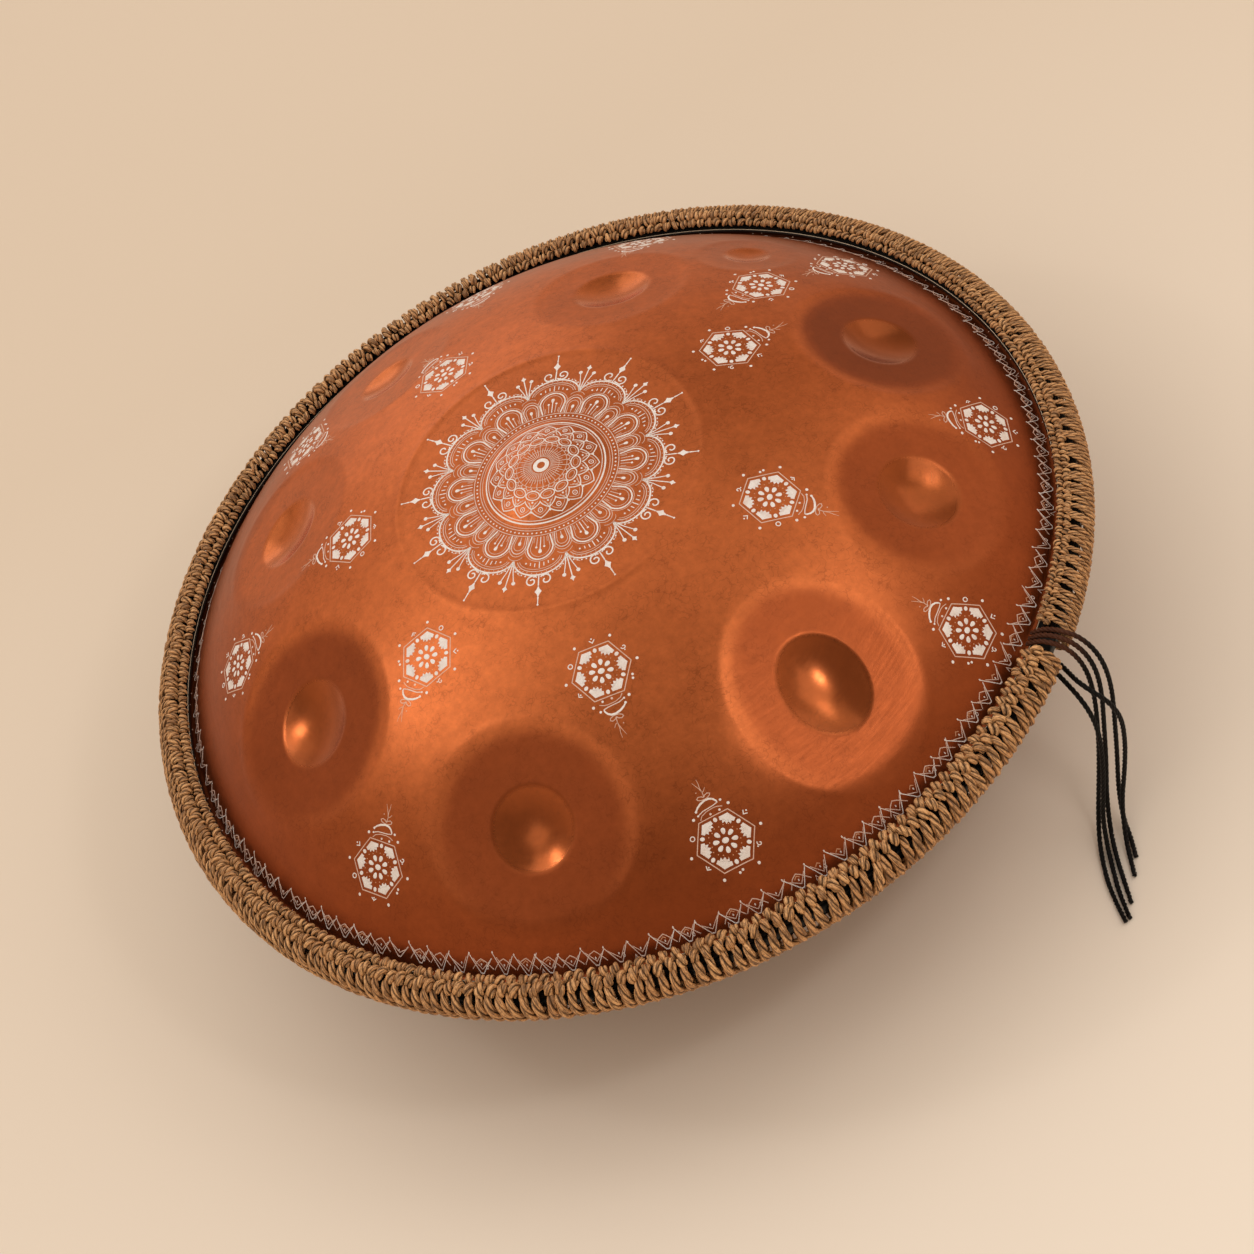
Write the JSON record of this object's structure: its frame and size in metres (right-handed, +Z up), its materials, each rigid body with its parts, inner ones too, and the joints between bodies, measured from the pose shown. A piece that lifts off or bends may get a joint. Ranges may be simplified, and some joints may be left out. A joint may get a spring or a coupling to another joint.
{
  "type": "handpan",
  "caption": "Handpan of glued steel shells with a centre ding, dimpled tone fields, a bottom port, a corded rim cover and loose tie ends.",
  "frame": {"origin": "centre of the flat standing land round the port, on the surface that the pan stands on", "axes": "+Z up along the pan's axis through the ding; -Y towards the viewer of the front"},
  "size_m": [0.5596, 0.5732, 0.2342],
  "materials": {
    "shell_steel": "satin copper-brown heat-tinted steel",
    "adhesive": "cured epoxy line",
    "trim_rubber": "black extruded rubber",
    "twine": "tan laid hemp twine",
    "tie_cord": "black waxed cord, browner near its exit"
  },
  "bodies": {
    "root": {"top_shell": "shell_steel", "bottom_shell": "shell_steel", "rim_adhesive": "adhesive", "edge_trim": "trim_rubber", "core_cords_upper": "twine", "core_cords_lower": "twine", "rope_turns": "twine", "chain_row_upper_inner": "twine", "chain_row_upper_outer": "twine", "chain_row_lower_inner": "twine", "chain_row_lower_outer": "twine", "tie_end_1": "tie_cord", "tie_end_2": "tie_cord", "tie_end_3": "tie_cord", "tie_end_4": "tie_cord", "tie_end_5": "tie_cord"}
  },
  "joints": []
}
